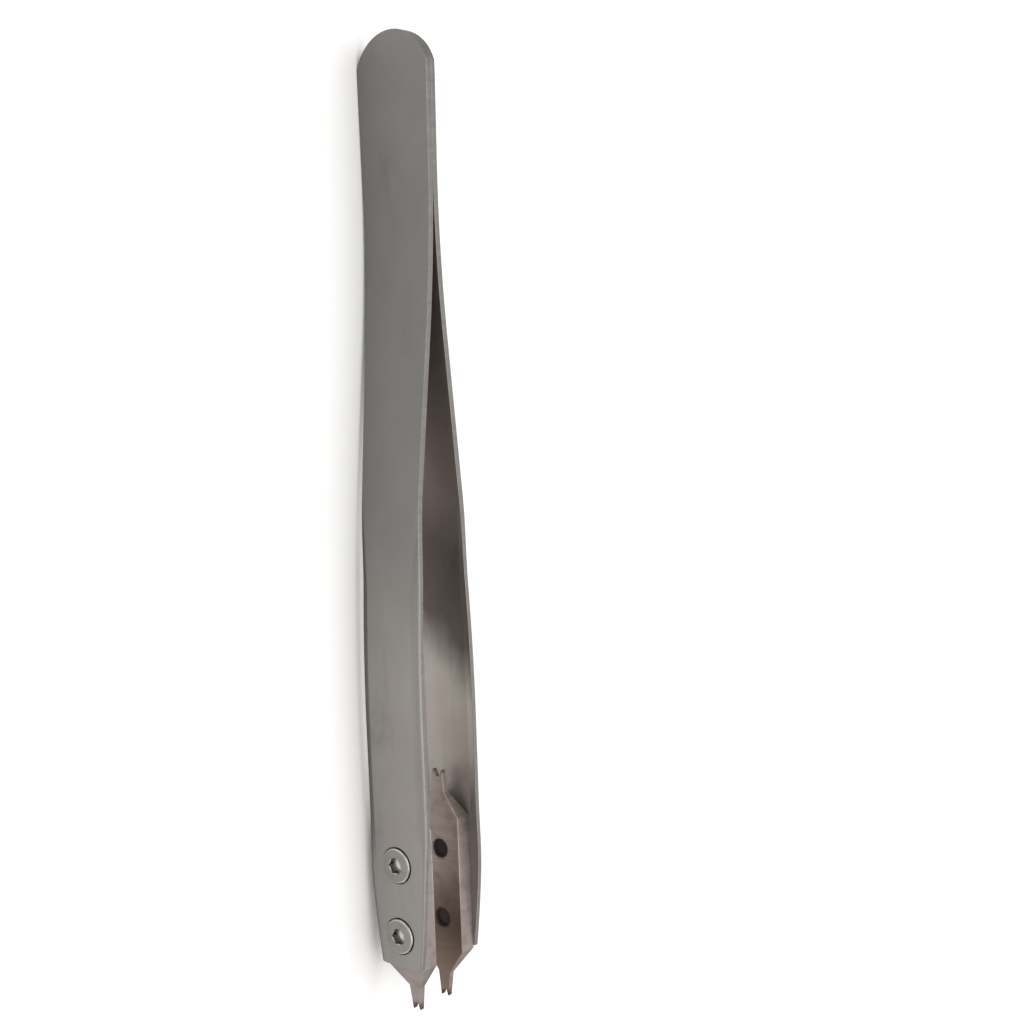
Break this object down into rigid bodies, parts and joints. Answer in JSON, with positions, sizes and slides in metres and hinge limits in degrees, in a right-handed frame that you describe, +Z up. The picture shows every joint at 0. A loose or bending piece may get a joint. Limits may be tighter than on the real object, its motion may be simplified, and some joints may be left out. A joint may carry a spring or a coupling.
{
  "type": "spring bar tweezers",
  "caption": "Sprung steel tweezers, joined at a rounded tail, with a small notched fork plate screwed inside each arm for squeezing watch strap spring bars.",
  "frame": {"origin": "middle of the length and of the opening, on the surface that the tool lies on with its long edges", "axes": "+X along the tool towards the fine fork tips, +Y across the opening from the front arm to the rear arm, +Z up along the width of the arms"},
  "size_m": [0.15, 0.0148, 0.014],
  "materials": {
    "arm_steel": "fine lengthwise satin grain",
    "fork_steel": "matt ground, with dark oxide at the notches",
    "screw_steel": "smooth turned"
  },
  "bodies": {
    "front": {"front_arm": "arm_steel", "front_fork": "fork_steel", "front_screw_tip": "screw_steel", "front_screw_tail": "screw_steel"},
    "rear": {"rear_arm": "arm_steel", "rear_fork": "fork_steel", "rear_screw_tip": "screw_steel", "rear_screw_tail": "screw_steel"}
  },
  "joints": [
    {"name": "squeeze", "type": "hinge", "parent": "front", "child": "rear", "pos_m": [-0.051, 0, 0.007], "axis": [0, 0, -1], "range_deg": [0, 2.68], "stiffness_Nm_per_rad": 2.8}
  ]
}
